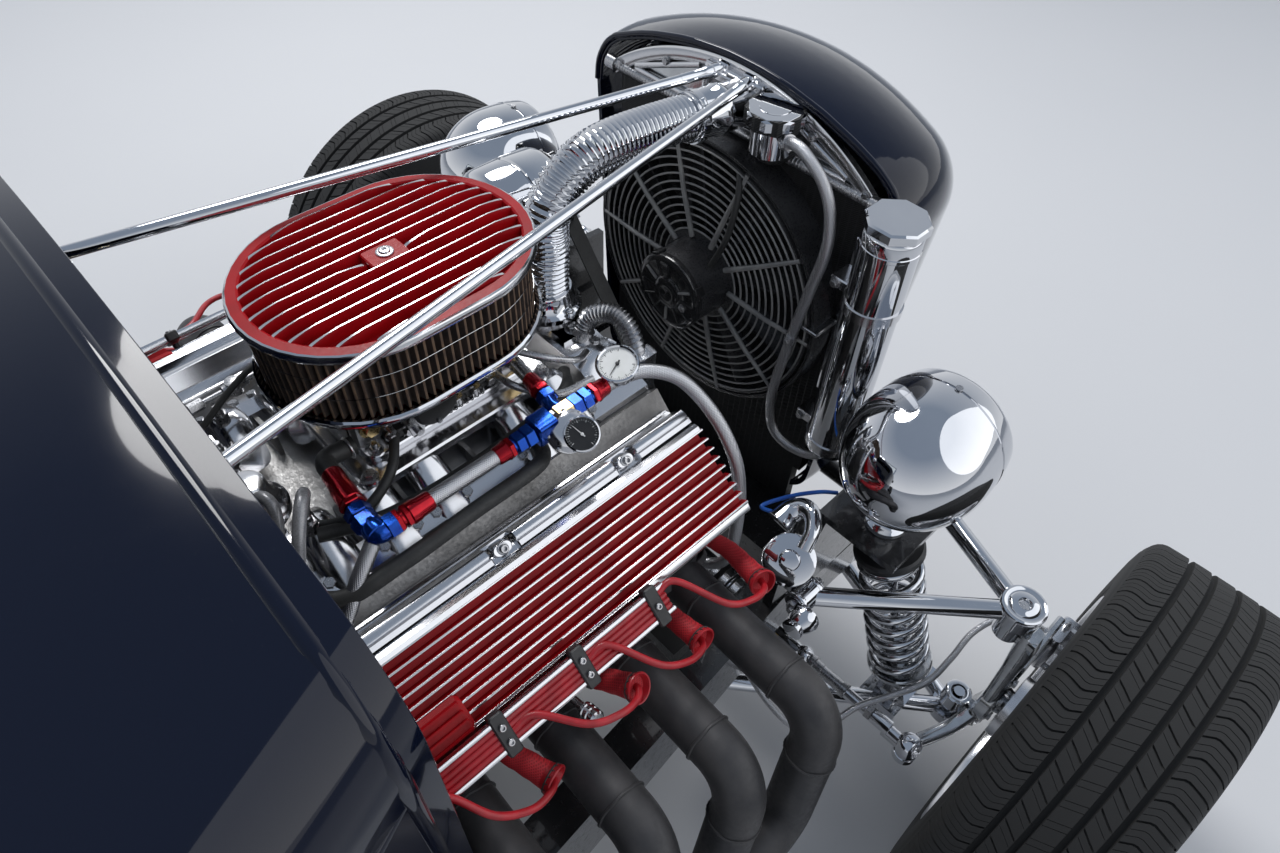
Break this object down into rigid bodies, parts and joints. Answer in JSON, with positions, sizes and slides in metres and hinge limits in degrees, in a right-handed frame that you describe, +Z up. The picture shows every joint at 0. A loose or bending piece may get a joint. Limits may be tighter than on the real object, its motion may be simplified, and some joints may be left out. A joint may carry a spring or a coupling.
{
  "type": "hot rod roadster",
  "caption": "Fenderless hot rod roadster with an open vee engine under a finned oval air cleaner, a black grille shell, bullet headlamps and tube front suspension.",
  "frame": {"origin": "on the ground, on the centre line, halfway between the front of the front tyres and the rear bar", "axes": "+Z up, the nose faces -Y, +X towards the car's left"},
  "size_m": [1.75, 3.457, 1.3319],
  "materials": {
    "body_paint": "deep gloss black",
    "chassis_paint": "gloss black",
    "chrome": "mirror chrome",
    "polished_alloy": "polished",
    "cast_alloy": "satin cast",
    "block_paint": "satin black",
    "red_paint": "gloss red with polished fins",
    "black_core": "satin black",
    "header_coating": "matt dark coating",
    "tyre_rubber": "matt black",
    "black_plastic": "satin black",
    "filter_media": "pleated dark element",
    "rubber_black": "matt black",
    "red_silicone": "red and black sleeves",
    "braid": "braided steel",
    "steel": "machined steel",
    "lamp_glass": "clear",
    "screen_glass": "clear",
    "red_lens": "clear red",
    "seat_leather": "dark red leather",
    "floor_carpet": "charcoal carpet over steel"
  },
  "bodies": {
    "chassis": {"frame": "chassis_paint", "control_arms": "chrome", "front_coilovers": "chrome", "steering_rack": "polished_alloy", "radiator": "black_core", "radiator_top_plate": "polished_alloy", "overflow_tank": "chrome", "fan_guard": "black_plastic", "grille_shell": "body_paint", "grille_bars": "chrome", "stay_rods": "chrome", "headlamps": "chrome", "headlamp_lenses": "lamp_glass", "engine_block": "block_paint", "cylinder_heads": "polished_alloy", "valve_covers": "polished_alloy", "intake_manifold": "polished_alloy", "carburettor": "cast_alloy", "air_filter": "filter_media", "air_cleaner_lid": "red_paint", "front_drive": "polished_alloy", "coolant_hoses": "chrome", "fuel_lines": "braid", "exhaust_headers": "header_coating", "exhaust_pipes": "steel", "plug_leads": "red_silicone", "transmission": "cast_alloy", "rear_axle": "chassis_paint", "rear_links": "chrome", "cowl": "body_paint", "rear_body": "body_paint", "floor": "floor_carpet", "windscreen_frame": "chrome", "windscreen_glass": "screen_glass", "seat_cushion": "seat_leather", "seat_back": "seat_leather", "steering_column": "chrome", "tail_lamps": "red_lens", "fuel_tank": "steel"},
    "door_r": {"door_right": "body_paint"},
    "door_l": {"door_left": "body_paint"},
    "lid": {"deck_lid": "body_paint"},
    "steering_wheel_body": {"steering_wheel": "rubber_black"},
    "knuckle_r": {"knuckle_right": "chrome"},
    "knuckle_l": {"knuckle_left": "chrome"},
    "tie_rod_body": {"tie_rods": "chrome"},
    "fan_rotor": {"fan_blades": "black_plastic"},
    "wheel_front_right": {"front_tyre_right": "tyre_rubber", "front_wheel_right": "chrome"},
    "wheel_front_left": {"front_tyre_left": "tyre_rubber", "front_wheel_left": "chrome"},
    "wheel_rear_right": {"rear_tyre_right": "tyre_rubber", "rear_wheel_right": "chrome"},
    "wheel_rear_left": {"rear_tyre_left": "tyre_rubber", "rear_wheel_left": "chrome"}
  },
  "joints": [
    {"name": "steer_right", "type": "hinge", "parent": "chassis", "child": "knuckle_r", "pos_m": [-0.59, -1.4215, 0.3], "axis": [0, 0, 1], "range_deg": [-30, 30]},
    {"name": "steer_left", "type": "hinge", "parent": "chassis", "child": "knuckle_l", "pos_m": [0.59, -1.4215, 0.3], "axis": [0, 0, 1], "range_deg": [-30, 30]},
    {"name": "rack_slide", "type": "slide", "parent": "chassis", "child": "tie_rod_body", "axis": [1, 0, 0], "range_m": [-0.0681, 0.0681]},
    {"name": "steering_wheel_turn", "type": "hinge", "parent": "chassis", "child": "steering_wheel_body", "pos_m": [0.3, -0.07493, 0.86704], "axis": [0, 0.9204, 0.3909], "range_deg": [-450, 450]},
    {"name": "spin_front_right", "type": "hinge", "parent": "knuckle_r", "child": "wheel_front_right", "pos_m": [-0.75, -1.4215, 0.307], "axis": [1, 0, 0], "continuous": true},
    {"name": "spin_front_left", "type": "hinge", "parent": "knuckle_l", "child": "wheel_front_left", "pos_m": [0.75, -1.4215, 0.307], "axis": [1, 0, 0], "continuous": true},
    {"name": "spin_rear_right", "type": "hinge", "parent": "chassis", "child": "wheel_rear_right", "pos_m": [-0.74, 1.2685, 0.37], "axis": [1, 0, 0], "continuous": true},
    {"name": "spin_rear_left", "type": "hinge", "parent": "chassis", "child": "wheel_rear_left", "pos_m": [0.74, 1.2685, 0.37], "axis": [1, 0, 0], "continuous": true},
    {"name": "fan_spin", "type": "hinge", "parent": "chassis", "child": "fan_rotor", "pos_m": [0, -1.4425, 0.69], "axis": [0, 1, 0], "continuous": true},
    {"name": "door_right_open", "type": "hinge", "parent": "chassis", "child": "door_r", "pos_m": [-0.541, -0.319, 0.735], "axis": [0, 0, 1], "range_deg": [0, 65]},
    {"name": "door_left_open", "type": "hinge", "parent": "chassis", "child": "door_l", "pos_m": [0.541, -0.319, 0.735], "axis": [0, 0, -1], "range_deg": [0, 65]},
    {"name": "deck_lid_open", "type": "hinge", "parent": "chassis", "child": "lid", "pos_m": [0, 0.577, 1.03], "axis": [1, 0, 0], "range_deg": [0, 60]}
  ],
  "couplings": [
    {"joint": "steer_left", "follows": "steer_right", "ratio": 1},
    {"joint": "rack_slide", "follows": "steer_right", "m_per_rad": -0.13},
    {"joint": "steering_wheel_turn", "follows": "steer_right", "ratio": 15}
  ]
}
